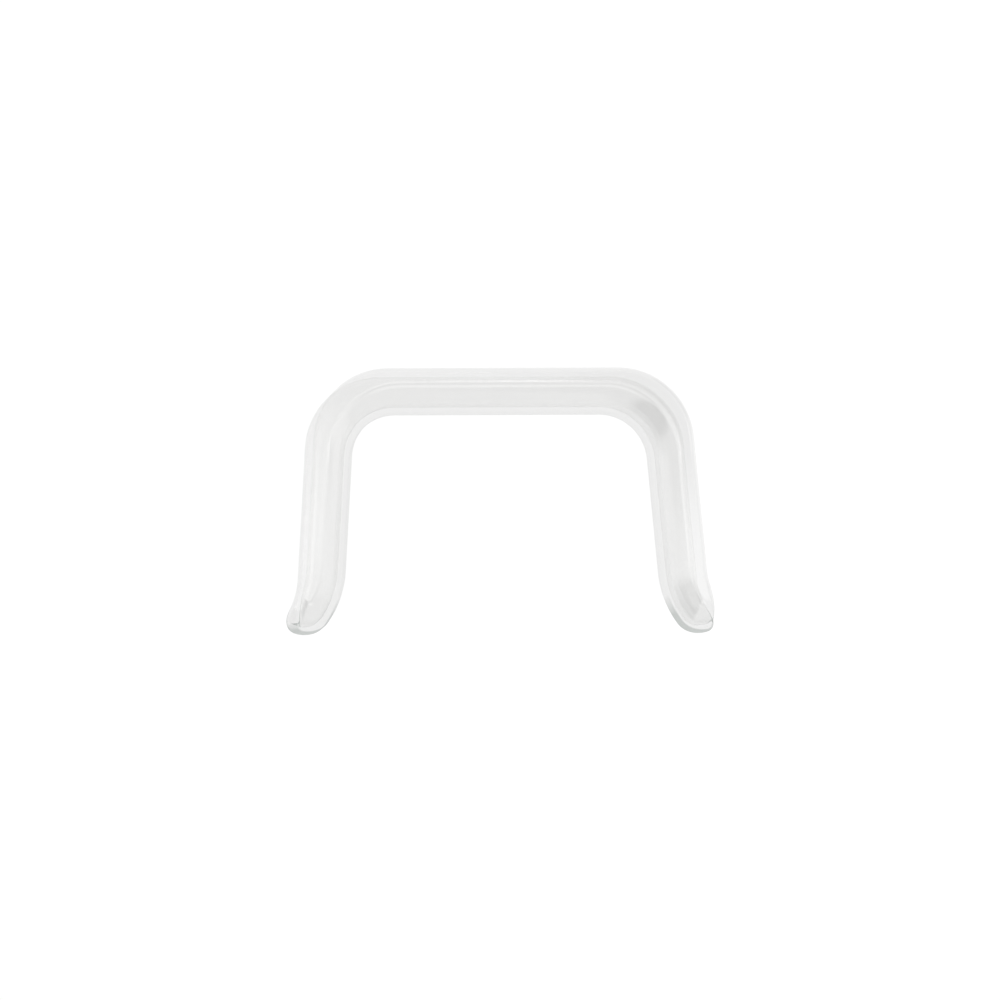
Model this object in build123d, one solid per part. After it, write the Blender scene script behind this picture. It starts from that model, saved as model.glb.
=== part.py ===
from build123d import *
import os
from math import cos, radians, sin, tan

os.makedirs("parts", exist_ok=True)

# A lip and cheek retractor moulded in one piece: a bracket-shaped channel whose closed web faces the
# teeth and whose mouth, between two flanges, faces outward and takes the lip. Each leg ends in a wall
# that carries the web round to the rims.
# Millimetres. X runs across the mouth, Y from the open end of the bracket to its bar, Z out of the mouth.

# Cross-section of the channel.
CHANNEL_HEIGHT = 12.0  # outside of the back flange to outside of the front flange
FLANGE_THICKNESS = 1.2
WEB_THICKNESS = 1.2
WEB_ROUNDING = 4.4  # outside edges of the web and end walls, where they pass over teeth and gum
SLOT_ROUNDING = WEB_ROUNDING - FLANGE_THICKNESS
RIM_ROUNDING = 0.5

# Plan of the web's inner face, which frames the opening between the legs.
LEG_HALF_SPAN = 23.8  # from the middle to a leg's inner face, at the reference level
REFERENCE_DROP = 13.0  # from the bar's inner face down to that level
SPLAY = 4.3  # degrees, each leg away from straight down
INNER_CORNER_RADIUS = 7.4
INNER_FLARE_DROP = 24.7  # from the bar's inner face down to where the inner face turns outward
INNER_FLARE_RADIUS = 15.8
INNER_FLARE_TURN = 28.0  # degrees, before the heel takes over

# Plan of the flange rims.
BAR_FLANGE_WIDTH = 6.4
LEG_FLANGE_WIDTH = 6.5
OUTER_CORNER_RADIUS = 11.7
OUTER_FLARE_DROP = 25.1
OUTER_FLARE_RADIUS = 12.0
OUTER_FLARE_TURN = 28.0  # degrees, before the toe takes over

# Ends of the legs.
HEEL_RADIUS = 4.7  # in plan, from the web's flare into the end wall
END_SLOPE = 44.0  # degrees, the end wall away from level, rising outward
END_REACH = 47.6  # from the middle of the bar's inner face to the end wall's line, square to it
TOE_RADIUS = 3.3
TOE_RELIEF = 0.3  # how far outside the end wall's line the toe's arc would come tangent

OVERRUN = 12.0  # how far the plan curves run on before they are cut
CLEARANCE = 3.0  # how far the cutting tools stand off the body


def rail(bar_y, leg_x, corner_radius, flare_y, flare_radius, flare_turn):
    """Right half of a plan curve: along the bar, round the corner, down the leg and out along the flare."""
    turn = 90 - SPLAY
    setback = corner_radius * tan(radians(turn / 2))
    corner_x = leg_x - (bar_y + REFERENCE_DROP) * tan(radians(SPLAY))
    along_bar = Line((0, bar_y), (corner_x - setback, bar_y))
    corner = JernArc(along_bar @ 1, along_bar % 1, corner_radius, -turn)
    down_leg = (corner % 1).normalized()
    length = ((corner @ 1).Y - flare_y) / -down_leg.Y
    leg = Line(corner @ 1, corner @ 1 + down_leg * length)
    flare = JernArc(leg @ 1, down_leg, flare_radius, flare_turn)
    return [along_bar, corner, leg, flare]


def turned_to_end(edges, radius, turn, reach):
    """A plan curve run on straight, then bent until it lies along the end wall, at a given reach."""
    start, heading = edges[-1] @ 1, (edges[-1] % 1).normalized()
    side = heading.rotate(Axis.Z, 90 if turn > 0 else -90)
    outward = Vector(sin(radians(END_SLOPE)), -cos(radians(END_SLOPE)))
    length = (reach - radius - outward.dot(start + side * radius)) / outward.dot(heading)
    straight = Line(start, start + heading * length)
    return edges + [straight, JernArc(straight @ 1, heading, radius, turn)]


def wall_rail(offset=0.0):
    """The closed wall's face in plan, moved into the body by offset: along the web, then along the end."""
    edges = rail(
        offset,
        LEG_HALF_SPAN + offset / cos(radians(SPLAY)),
        INNER_CORNER_RADIUS + offset,
        offset * sin(radians(SPLAY)) - INNER_FLARE_DROP,
        INNER_FLARE_RADIUS - offset,
        INNER_FLARE_TURN,
    )
    turn = 90 - SPLAY - INNER_FLARE_TURN + END_SLOPE
    edges = turned_to_end(edges, HEEL_RADIUS - offset, turn, END_REACH - offset)
    end = edges[-1]
    return edges + [Line(end @ 1, end @ 1 + (end % 1).normalized() * OVERRUN)]


def rim_rail():
    """The flange rims in plan, as far as the toes, and on past the ends to the middle plane."""
    edges = rail(
        BAR_FLANGE_WIDTH,
        LEG_HALF_SPAN + LEG_FLANGE_WIDTH / cos(radians(SPLAY)),
        OUTER_CORNER_RADIUS,
        -OUTER_FLARE_DROP,
        OUTER_FLARE_RADIUS,
        OUTER_FLARE_TURN,
    )
    turn = END_SLOPE - 90 - SPLAY - OUTER_FLARE_TURN
    edges = turned_to_end(edges, TOE_RADIUS, turn, END_REACH + TOE_RELIEF)
    toe = edges[-1] @ 1
    return edges + [Line(toe, (0, toe.Y - toe.X * tan(radians(END_SLOPE))))]


def symmetric_face(edges):
    """The face inside a chain of edges, which runs from the middle plane to it again, and its mirror image."""
    return make_face(Curve() + edges + [edge.mirror(Plane.YZ) for edge in edges])


def outside_of(chain):
    """The face on the outer side of a wall chain, out to well past the rims."""
    last = chain[-1] @ 1
    top = BAR_FLANGE_WIDTH + CLEARANCE
    return symmetric_face(chain + [Line(last, (last.X, top)), Line((last.X, top), (0, top))])


def edges_along(solid, chain):
    """The solid's level edges that run over a plan chain or its mirror image."""
    marks = [edge @ 0.5 for edge in chain]
    marks[0] = chain[0] @ 0
    found = []
    for edge in solid.edges():
        middle = edge @ 0.5
        for mark in marks:
            if abs(abs(middle.X) - mark.X) < 0.01 and abs(middle.Y - mark.Y) < 0.01:
                if abs((edge % 0.5).Z) < 0.5:
                    found.append(edge)
    return found


def untrimmed_channel():
    """The channel with its flanges run on past their rims."""
    wall = wall_rail()
    body = extrude(outside_of(wall), CHANNEL_HEIGHT)
    body = fillet(edges_along(body, wall), WEB_ROUNDING)
    floor = wall_rail(WEB_THICKNESS)
    slot = extrude(outside_of(floor), CHANNEL_HEIGHT - 2 * FLANGE_THICKNESS)
    slot = fillet(edges_along(slot, floor), SLOT_ROUNDING)
    return body - Pos(0, 0, FLANGE_THICKNESS) * slot


def sharp_edges(solid):
    """Edges where two faces meet at an angle, leaving out the tangent ones."""
    neighbours = {}
    for face in solid.faces():
        for edge in face.edges():
            middle = edge @ 0.5
            place = (round(middle.X, 3), round(middle.Y, 3), round(middle.Z, 3))
            neighbours.setdefault(place, []).append((face, edge))
    found = []
    for pairs in neighbours.values():
        if len(pairs) == 2:
            middle = pairs[0][1] @ 0.5
            first, second = (face.normal_at(middle) for face, _ in pairs)
            if first.get_angle(second) > 20:
                found.append(pairs[0][1])
    return found


def lip_channel():
    """The whole retractor, back flange down, centred over the origin."""
    trimmed = untrimmed_channel() & extrude(symmetric_face(rim_rail()), CHANNEL_HEIGHT)
    rounded = fillet(sharp_edges(trimmed), RIM_ROUNDING)
    centre = rounded.bounding_box().center()
    return Pos(-centre.X, -centre.Y, 0) * rounded


export_step(lip_channel(), "parts/lip_channel.step")
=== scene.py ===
from math import cos, radians, sin, tan

import bpy
import numpy as np
from mathutils import Matrix, Vector


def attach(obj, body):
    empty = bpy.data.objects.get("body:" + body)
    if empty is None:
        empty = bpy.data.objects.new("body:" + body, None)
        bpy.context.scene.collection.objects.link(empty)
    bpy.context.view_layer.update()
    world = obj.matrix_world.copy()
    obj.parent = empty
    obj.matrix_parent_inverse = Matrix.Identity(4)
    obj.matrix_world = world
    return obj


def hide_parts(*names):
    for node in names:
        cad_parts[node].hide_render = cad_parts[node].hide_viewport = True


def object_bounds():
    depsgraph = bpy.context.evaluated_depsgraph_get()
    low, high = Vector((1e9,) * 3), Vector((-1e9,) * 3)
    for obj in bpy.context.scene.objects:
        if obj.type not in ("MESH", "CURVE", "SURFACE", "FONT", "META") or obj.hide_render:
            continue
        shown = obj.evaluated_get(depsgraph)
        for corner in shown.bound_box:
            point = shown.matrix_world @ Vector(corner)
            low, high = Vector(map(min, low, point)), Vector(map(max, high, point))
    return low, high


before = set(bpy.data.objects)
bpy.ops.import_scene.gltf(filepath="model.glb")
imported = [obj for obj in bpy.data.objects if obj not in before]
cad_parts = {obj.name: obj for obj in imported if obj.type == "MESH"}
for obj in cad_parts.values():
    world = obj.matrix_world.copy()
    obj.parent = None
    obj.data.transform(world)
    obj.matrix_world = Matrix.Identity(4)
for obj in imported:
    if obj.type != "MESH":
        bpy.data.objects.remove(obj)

# A lip and cheek retractor: one clear moulded channel, lying on white paper inside a light tent.
low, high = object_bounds()
centre = (Vector(low) + Vector(high)) / 2
MM = 0.001

# The channel's own sizes are in millimetres and as in the CAD part, unless a comment says otherwise.
# They're laid out in plan from the middle of the bar's inner face.
HEIGHT = (high[2] - low[2]) / MM
FLANGE, WEB = 1.2, 1.2
WEB_ROUND, SLOT_ROUND, RIM_ROUND = 4.4, 3.2, 0.5
SPLAY = radians(4.3)
REFERENCE_DROP, LEG_HALF_SPAN = 13.0, 23.8
BAR_WIDTH, LEG_WIDTH = 6.4, 6.5
BAR_Y = high[1] / MM - BAR_WIDTH

# Plan of the web's inner face and of the rims. The flares turn further than the CAD part's do, because
# they meet the ends in a rounded corner and not in an arc.
INNER_CORNER_ROUND, INNER_FLARE_DROP, INNER_FLARE_ROUND, INNER_FLARE_TURN = 7.4, 24.7, 15.8, 39.7
OUTER_CORNER_ROUND, OUTER_FLARE_DROP, OUTER_FLARE_ROUND, OUTER_FLARE_TURN = 11.7, 25.1, 12.0, 43.5

# Ends of the legs. They stop a quarter of a millimetre short of the CAD part's, to stay inside its box,
# and the front flange's toe is rounder than the back one's.
END_SLOPE, END_REACH = radians(44.0), 47.35
HEEL_ROUND, BACK_TOE_ROUND, FRONT_TOE_ROUND, TOE_RELIEF = 4.7, 3.3, 5.9, 0.3

# Meshing.
CELL = 0.2
MARGIN = 1.0  # how far the grid stands off the channel
GRID_SHIFT = 0.07  # keeps the grid's levels off the channel's flat faces
SETTLING_STEPS = 5
LEAST_SLOPE = 0.25  # lower bound on the field's squared gradient while the points settle
GRADIENT_STEP = 0.002
FAR = 1e9

# Where the end walls get painted shade: a darker grey tint that stands in for the dark edge and shadow at the
# leg ends.
PAINTED_SHADE_START, PAINTED_SHADE_GROWTH = -28.6, 3  # the level in plan where it starts, and the length it grows over
PAINTED_SHADE_LEVEL, PAINTED_SHADE_FADE = 0.24, 0.16  # the normal's Z where it has faded out, and the range it fades over
SKIN_DEPTH = 0.3  # how deep in plan a point still counts as outside

# Looks of the plastic and the paper.
CLEAR_TINT = (0.978, 0.978, 0.976, 1)
# Painted shade: the darker tint that the steep end walls get.
PAINTED_SHADE_TINT = (0.60, 0.63, 0.615, 1)
GLOSS_FACING, GLOSS_GRAZING, GLOSS_FALLOFF = 0.075, 0.35, 5.0
LEAST_ROUGHNESS, MOST_ROUGHNESS = 0.05, 0.12
FLOW_SCALE, FLOW_DETAIL = 90.0, 3.0
PAPER_WHITE, PAPER_GLOW = 0.12, 0.81

# Staging, in metres.
FLOOR_SIZE, FLOOR_GAP = 1.1, 0.0005
TENT_RADIUS, TENT_SEGMENTS, TENT_RINGS = 0.25, 96, 48
LEAST_TENT_GLOW = 0.02
# Sectors of the tent: azimuth and half width in degrees, start, change of brightness.
WEDGES = (
    (222, 26, 0.085, -0.98),
    (40, 24, 0.24, -0.35),
    (0, 18, 0.15, 0.4),
)
# Patches overhead: x and y of the direction, half sizes, change of brightness.
SPOTS = (
    (-0.01, 0.09, 0.09, 0.09, 0.55),
    (0.28, 0.04, 0.09, 0.08, 0.25),
    (0.14, 0.10, 0.16, 0.04, 0.4),
    (0.14, 0.155, 0.06, 0.014, 4.0),
    (0.14, -0.03, 0.16, 0.04, -0.4),
    (0.12, -0.22, 0.14, 0.09, 0.7),
)
# Soft edges, as shares of the sizes above: of the patches and the sectors' starts, and of the sectors' sides.
SOFT_START, SOFT_END = 0.7, 1.3
SIDE_START, SIDE_END = 0.65, 1.35

# Camera, looking down on the part from a little to its lower left.
YAW, PITCH, ROLL = radians(7.9), radians(7.2), radians(0.25)
DISTANCE, FRAME_WIDTH, SENSOR_WIDTH, CLIP_END = 3.0, 0.155, 36, 10
AIM_LEFT, AIM_UP = 0.0001, 0.0004
LAMP_ENERGY, LAMP_ANGLE = 3.3, radians(1.5)


def rail(bar_y, leg_x, corner_r, flare_y, flare_r, flare_turn):
    """Right half of a plan curve: the centres and radii of its two arcs, and its straight runs."""
    turn = radians(90) - SPLAY
    setback = corner_r * tan(turn / 2)
    corner_x = leg_x - (bar_y + REFERENCE_DROP) * tan(SPLAY)
    leg_heading = np.array([sin(SPLAY), -cos(SPLAY)])
    outward = np.array([cos(SPLAY), sin(SPLAY)])
    corner = np.array([corner_x - setback, bar_y - corner_r])
    leg_start = corner + corner_r * outward
    leg_end = leg_start + leg_heading * (leg_start[1] - flare_y) / cos(SPLAY)
    flare = leg_end + flare_r * outward
    end_angle = -radians(90) + SPLAY + radians(flare_turn)
    end_heading = np.array([cos(end_angle), sin(end_angle)])
    return {
        "bar_y": bar_y,
        "corner": corner,
        "corner_r": corner_r,
        "leg_start": leg_start,
        "leg_end": leg_end,
        "leg_heading": leg_heading,
        "flare": flare,
        "flare_r": flare_r,
        "end_start": flare - flare_r * np.array([-end_heading[1], end_heading[0]]),
        "end_heading": end_heading,
    }


INNER = rail(0, LEG_HALF_SPAN, INNER_CORNER_ROUND, -INNER_FLARE_DROP, INNER_FLARE_ROUND, INNER_FLARE_TURN)
OUTER = rail(
    BAR_WIDTH,
    LEG_HALF_SPAN + LEG_WIDTH / cos(SPLAY),
    OUTER_CORNER_ROUND,
    -OUTER_FLARE_DROP,
    OUTER_FLARE_ROUND,
    OUTER_FLARE_TURN,
)


def rail_distance(curve, x, y):
    """Signed distance from a plan curve and its mirror image, positive on its outer side."""
    x = np.abs(x)
    best = np.full(x.shape, FAR)

    def take(mask, value):
        """Takes a run's distance where the run is opposite the point and nearer than those before."""
        np.copyto(best, value, where=mask & (np.abs(value) < np.abs(best)))

    def seen_from(origin, heading):
        """Each point's x and y from an origin, and how far along a heading it lies."""
        dx, dy = x - origin[0], y - origin[1]
        return dx, dy, dx * heading[0] + dy * heading[1]

    leg_heading, end_heading = curve["leg_heading"], curve["end_heading"]
    take(x <= curve["corner"][0], y - curve["bar_y"])
    dx, dy, along = seen_from(curve["corner"], leg_heading)
    take((dx >= 0) & (along <= 0), np.hypot(dx, dy) - curve["corner_r"])
    dx, dy, along = seen_from(curve["leg_start"], leg_heading)
    length = np.hypot(*(curve["leg_end"] - curve["leg_start"]))
    take((along >= 0) & (along <= length), -dx * leg_heading[1] + dy * leg_heading[0])
    dx, dy, past_leg = seen_from(curve["flare"], leg_heading)
    past_flare = seen_from(curve["flare"], end_heading)[2]
    take((past_leg >= 0) & (past_flare <= 0), curve["flare_r"] - np.hypot(dx, dy))
    dx, dy, along = seen_from(curve["end_start"], end_heading)
    take(along >= 0, -dx * end_heading[1] + dy * end_heading[0])
    return best


def rounded(a, b, r):
    """Where both fields are negative, with the meeting edge rounded to radius r."""
    return np.minimum(np.maximum(a, b), -r) + np.hypot(np.maximum(a + r, 0), np.maximum(b + r, 0))


def plan_fields(x, y):
    """Distances from the closed wall, which runs along the web and round to the end, and from both rims."""
    past_end = np.abs(x) * sin(END_SLOPE) - y * cos(END_SLOPE) - END_REACH
    past_rim = rail_distance(OUTER, x, y)
    wall = rounded(past_end, -rail_distance(INNER, x, y), HEEL_ROUND)
    back = rounded(past_end - TOE_RELIEF, past_rim, BACK_TOE_ROUND)
    front = rounded(past_end - TOE_RELIEF, past_rim, FRONT_TOE_ROUND)
    return wall, back, front


def channel(wall, back, front, z):
    """The channel's field, negative inside the plastic, from the plan's fields and the height."""
    half = HEIGHT / 2
    away = np.abs(z - half)
    envelope = rounded(wall, away - half, WEB_ROUND)
    slot = rounded(wall + WEB, away - (half - FLANGE), SLOT_ROUND)
    # The rim goes over from the back one's plan to the front one's in the middle half of the height.
    forward = np.clip(z / half - 0.5, 0, 1)
    rim = back + (front - back) * forward
    return rounded(np.maximum(envelope, -slot), rim, RIM_ROUND)


def field(points):
    return channel(*plan_fields(points[:, 0], points[:, 1]), points[:, 2])


def gradient(points):
    slopes = np.empty_like(points)
    for k in range(3):
        step = np.zeros(3)
        step[k] = GRADIENT_STEP
        slopes[:, k] = (field(points + step) - field(points - step)) / (2 * GRADIENT_STEP)
    return slopes


def surface_net(cell):
    """Quads over the channel's surface, with one point in the middle of each grid cell that it crosses."""
    first = np.array([low[0] / MM - MARGIN, low[1] / MM - BAR_Y - MARGIN, -MARGIN - GRID_SHIFT])
    last = np.array([high[0] / MM + MARGIN, high[1] / MM - BAR_Y + MARGIN, HEIGHT + MARGIN])
    axes = [np.arange(first[k], last[k] + cell, cell) for k in range(3)]
    grid_x, grid_y = np.meshgrid(axes[0], axes[1], indexing="ij")
    plan = (plan_field[:, :, None] for plan_field in plan_fields(grid_x, grid_y))
    inside = channel(*plan, axes[2][None, None, :]) < 0
    cells_x, cells_y, cells_z = (count - 1 for count in inside.shape)
    corners = sum(
        inside[i:i + cells_x, j:j + cells_y, k:k + cells_z].astype(np.int8)
        for i in (0, 1)
        for j in (0, 1)
        for k in (0, 1)
    )
    crossed = (corners > 0) & (corners < 8)
    number = np.full(crossed.shape, -1, np.int64)
    number[crossed] = np.arange(crossed.sum())
    points = first + (np.argwhere(crossed) + 0.5) * cell
    quads = []
    for axis in range(3):
        # Each grid edge along this axis that leaves or enters the plastic gets a quad of its four cells.
        near = np.take(inside, np.arange(inside.shape[axis] - 1), axis)
        beyond = np.take(inside, np.arange(1, inside.shape[axis]), axis)
        u, v = [k for k in range(3) if k != axis]
        for entering, change in ((False, near & ~beyond), (True, ~near & beyond)):
            edges = np.argwhere(change)
            edges = edges[(edges[:, u] > 0) & (edges[:, v] > 0)]
            ring = []
            for du, dv in ((1, 1), (0, 1), (0, 0), (1, 0)):
                at = edges.copy()
                at[:, u] -= du
                at[:, v] -= dv
                ring.append(number[at[:, 0], at[:, 1], at[:, 2]])
            faces = np.stack(ring, axis=1)
            if entering != (axis == 1):
                faces = faces[:, ::-1]
            quads.append(faces)
    return points, np.concatenate(quads)


def painted_end_shade(points, normals):
    """From 0 to 1, how much painted shade the steep outer faces of the end walls get, growing down the legs.
    """
    outside = np.max(plan_fields(points[:, 0], points[:, 1]), axis=0) > -SKIN_DEPTH
    steep = np.clip((PAINTED_SHADE_LEVEL - np.abs(normals[:, 2])) / PAINTED_SHADE_FADE, 0, 1)
    return outside * np.clip((PAINTED_SHADE_START - points[:, 1]) / PAINTED_SHADE_GROWTH, 0, 1) * steep


def add_object(name, data):
    obj = bpy.data.objects.new(name, data)
    bpy.context.scene.collection.objects.link(obj)
    return obj


def channel_mesh(name):
    """The channel as a mesh: a net over the field, moved onto the surface, with the field's own normals."""
    points, quads = surface_net(CELL)
    for _ in range(SETTLING_STEPS):
        slopes = gradient(points)
        squared = np.maximum((slopes * slopes).sum(1), LEAST_SLOPE)
        points = points - slopes * (field(points) / squared)[:, None]
    normals = gradient(points)
    normals /= np.linalg.norm(normals, axis=1)[:, None]
    mesh = bpy.data.meshes.new(name)
    mesh.from_pydata(((points + [0, BAR_Y, 0]) * MM).tolist(), [], quads.tolist())
    mesh.polygons.foreach_set("use_smooth", np.ones(len(mesh.polygons), bool))
    mesh.normals_split_custom_set_from_vertices(normals.tolist())
    mesh.update()
    # The end walls' painted shade goes to the material as a point attribute.
    end_shade = mesh.attributes.new("end_wall_shade", "FLOAT", "POINT")
    end_shade.data.foreach_set("value", painted_end_shade(points, normals))
    return add_object(name, mesh)


def add_node(tree, kind, **settings):
    node = tree.nodes.new(kind)
    for key, value in settings.items():
        setattr(node, key, value)
    return node


def new_material(name):
    """A material with an empty node tree, and its output."""
    mat = bpy.data.materials.new(name)
    mat.use_nodes = True
    mat.node_tree.nodes.clear()
    return mat, mat.node_tree, add_node(mat.node_tree, "ShaderNodeOutputMaterial")


def clear_plastic():
    """Thin clear plastic: what lies behind shows through it unbent, under a gloss that grows at a slant."""
    mat, tree, out = new_material("clear_plastic")
    link = tree.links.new
    clear = add_node(tree, "ShaderNodeBsdfTransparent")
    gloss = add_node(tree, "ShaderNodeBsdfGlossy")
    surface = add_node(tree, "ShaderNodeMixShader")
    facing = add_node(tree, "ShaderNodeLayerWeight")
    facing.inputs["Blend"].default_value = 0.5
    power = add_node(tree, "ShaderNodeMath", operation="POWER")
    power.inputs[1].default_value = GLOSS_FALLOFF
    sheen = add_node(tree, "ShaderNodeMath", operation="MULTIPLY_ADD")
    sheen.inputs[1].default_value = GLOSS_GRAZING
    sheen.inputs[2].default_value = GLOSS_FACING
    link(facing.outputs["Facing"], power.inputs[0])
    link(power.outputs[0], sheen.inputs[0])
    link(sheen.outputs[0], surface.inputs[0])
    link(clear.outputs[0], surface.inputs[1])
    link(gloss.outputs[0], surface.inputs[2])

    # The gloss is slightly uneven, as the plastic flowed in its mould.
    where = add_node(tree, "ShaderNodeTexCoord")
    flow = add_node(tree, "ShaderNodeTexNoise")
    flow.inputs["Scale"].default_value = FLOW_SCALE
    flow.inputs["Detail"].default_value = FLOW_DETAIL
    link(where.outputs["Object"], flow.inputs["Vector"])
    rough = add_node(tree, "ShaderNodeMapRange")
    rough.inputs["To Min"].default_value = LEAST_ROUGHNESS
    rough.inputs["To Max"].default_value = MOST_ROUGHNESS
    link(flow.outputs["Fac"], rough.inputs["Value"])
    link(rough.outputs["Result"], gloss.inputs["Roughness"])

    # The steep end walls get painted shade: a darker grey tint that stands in for the dark edge and shadow at
    # the leg ends.
    end = add_node(tree, "ShaderNodeAttribute", attribute_name="end_wall_shade")
    tint = add_node(tree, "ShaderNodeMix", data_type="RGBA")
    tint.inputs[6].default_value = CLEAR_TINT
    tint.inputs[7].default_value = PAINTED_SHADE_TINT
    link(end.outputs["Fac"], tint.inputs[0])
    link(tint.outputs[2], clear.inputs["Color"])

    # Real plastic bends light away and so leaves a full shadow: here, shadow rays are stopped.
    path = add_node(tree, "ShaderNodeLightPath")
    black = add_node(tree, "ShaderNodeBsdfTransparent")
    black.inputs["Color"].default_value = (0, 0, 0, 1)
    cast = add_node(tree, "ShaderNodeMixShader")
    link(path.outputs["Is Shadow Ray"], cast.inputs[0])
    link(surface.outputs[0], cast.inputs[1])
    link(black.outputs[0], cast.inputs[2])
    link(cast.outputs[0], out.inputs["Surface"])
    return mat


def matte_floor(name):
    """White paper that glows, so that the backdrop stays even, and still takes the part's shadow."""
    mat, tree, out = new_material(name)
    paper = add_node(tree, "ShaderNodeBsdfDiffuse")
    paper.inputs["Color"].default_value = (PAPER_WHITE, PAPER_WHITE, PAPER_WHITE, 1)
    glow = add_node(tree, "ShaderNodeEmission")
    glow.inputs["Strength"].default_value = PAPER_GLOW
    both = add_node(tree, "ShaderNodeAddShader")
    tree.links.new(paper.outputs[0], both.inputs[0])
    tree.links.new(glow.outputs[0], both.inputs[1])
    tree.links.new(both.outputs[0], out.inputs["Surface"])
    mat.cycles.emission_sampling = "NONE"
    return mat


def dome_light(name):
    """The studio as seen from the part: a light tent with a darker side, and patches of light overhead."""
    mat, tree, out = new_material(name)
    link = tree.links.new
    glow = add_node(tree, "ShaderNodeEmission")
    link(glow.outputs[0], out.inputs[0])

    def vector_node(operation, source, constant=None):
        """A vector operation on an output, and on a constant where it takes two."""
        node = add_node(tree, "ShaderNodeVectorMath", operation=operation)
        link(source, node.inputs[0])
        if constant:
            node.inputs[1].default_value = constant
        return node

    where = add_node(tree, "ShaderNodeTexCoord")
    unit = vector_node("NORMALIZE", where.outputs["Object"])
    flat = vector_node("MULTIPLY", unit.outputs[0], (1, 1, 0))
    around = vector_node("NORMALIZE", flat.outputs[0])
    reach = vector_node("LENGTH", flat.outputs[0])

    def ramp(value, low_in, high_in, low_out, high_out):
        node = add_node(tree, "ShaderNodeMapRange", interpolation_type="SMOOTHSTEP")
        node.inputs["From Min"].default_value = low_in
        node.inputs["From Max"].default_value = high_in
        node.inputs["To Min"].default_value = low_out
        node.inputs["To Max"].default_value = high_out
        link(value, node.inputs["Value"])
        return node.outputs["Result"]

    def combine(operation, first, second):
        node = add_node(tree, "ShaderNodeMath", operation=operation)
        for socket, value in zip(node.inputs, (first, second)):
            if isinstance(value, float):
                socket.default_value = value
            else:
                link(value, socket)
        return node.outputs[0]

    def wedge(azimuth, half_width, start, amount):
        """A sector of the tent, from start (as sine of the angle off vertical) down to the horizon."""
        heading = (cos(radians(azimuth)), sin(radians(azimuth)), 0)
        toward = vector_node("DOT_PRODUCT", around.outputs[0], heading).outputs["Value"]
        outer, inner = (cos(radians(half_width * share)) for share in (SIDE_END, SIDE_START))
        inside = ramp(toward, outer, inner, 0.0, 1.0)
        below = ramp(reach.outputs["Value"], start * SOFT_START, start * SOFT_END, 0.0, 1.0)
        return combine("MULTIPLY", combine("MULTIPLY", inside, below), amount)

    def spot(x, y, radius_x, radius_y, amount):
        """A soft-edged patch overhead, placed by the x and y of its direction."""
        shift = vector_node("SUBTRACT", flat.outputs[0], (x, y, 0))
        size = vector_node("MULTIPLY", shift.outputs[0], (1 / radius_x, 1 / radius_y, 0))
        off = vector_node("LENGTH", size.outputs[0])
        return ramp(off.outputs["Value"], SOFT_START, SOFT_END, amount, 0.0)

    total = 1.0
    for azimuth, half_width, start, amount in WEDGES:
        total = combine("ADD", wedge(azimuth, half_width, start, amount), total)
    for x, y, radius_x, radius_y, amount in SPOTS:
        total = combine("ADD", spot(x, y, radius_x, radius_y, amount), total)
    link(combine("MAXIMUM", total, LEAST_TENT_GLOW), glow.inputs["Strength"])
    mat.cycles.emission_sampling = "NONE"
    return mat


def square(name, size, location, mat):
    mesh = bpy.data.meshes.new(name)
    half = size / 2
    corners = [(-half, -half, 0), (half, -half, 0), (half, half, 0), (-half, half, 0)]
    mesh.from_pydata(corners, [], [(0, 1, 2, 3)])
    mesh.materials.append(mat)
    obj = add_object(name, mesh)
    obj.matrix_world = Matrix.Translation(location)


moulded = channel_mesh("moulded_channel")
moulded.data.materials.append(clear_plastic())
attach(moulded, "root")
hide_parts("lip_channel")

square("floor", FLOOR_SIZE, (centre.x, centre.y, low[2] - FLOOR_GAP), matte_floor("floor_white"))

world = bpy.data.worlds.new("studio")
bpy.context.scene.world = world
world.use_nodes = True
world.node_tree.nodes["Background"].inputs["Color"].default_value = (1, 1, 1, 1)
world.node_tree.nodes["Background"].inputs["Strength"].default_value = 1.0

bpy.ops.mesh.primitive_uv_sphere_add(
    segments=TENT_SEGMENTS, ring_count=TENT_RINGS, radius=TENT_RADIUS, location=(centre.x, centre.y, low[2])
)
dome = bpy.context.object
dome.name = "light_tent"
dome.data.materials.append(dome_light("tent"))
dome.visible_camera = False
dome.visible_shadow = False

towards = Vector((-sin(YAW), -cos(YAW) * sin(PITCH), cos(YAW) * cos(PITCH)))
right = (Vector((1, 0, 0)) - towards * towards.x).normalized()
up = towards.cross(right)
turned_right = right * cos(ROLL) - up * sin(ROLL)
turned_up = up * cos(ROLL) + right * sin(ROLL)
camera_data = bpy.data.cameras.new("camera")
camera_data.sensor_width = SENSOR_WIDTH
camera_data.lens = SENSOR_WIDTH * DISTANCE / FRAME_WIDTH
camera_data.clip_end = CLIP_END
camera = add_object("camera", camera_data)
aim = centre - turned_right * AIM_LEFT + turned_up * AIM_UP
rotation = Matrix((turned_right, turned_up, towards)).transposed().to_4x4()
camera.matrix_world = Matrix.Translation(aim + towards * DISTANCE) @ rotation
bpy.context.scene.camera = camera

# A lamp beside the lens, whose shadow falls straight behind the part.
lamp_data = bpy.data.lights.new("lens_lamp", "SUN")
lamp_data.energy = LAMP_ENERGY
lamp_data.angle = LAMP_ANGLE
lamp = add_object("lens_lamp", lamp_data)
lamp.matrix_world = camera.matrix_world
lamp.visible_glossy = False
bpy.context.scene.view_settings.view_transform = "Standard"
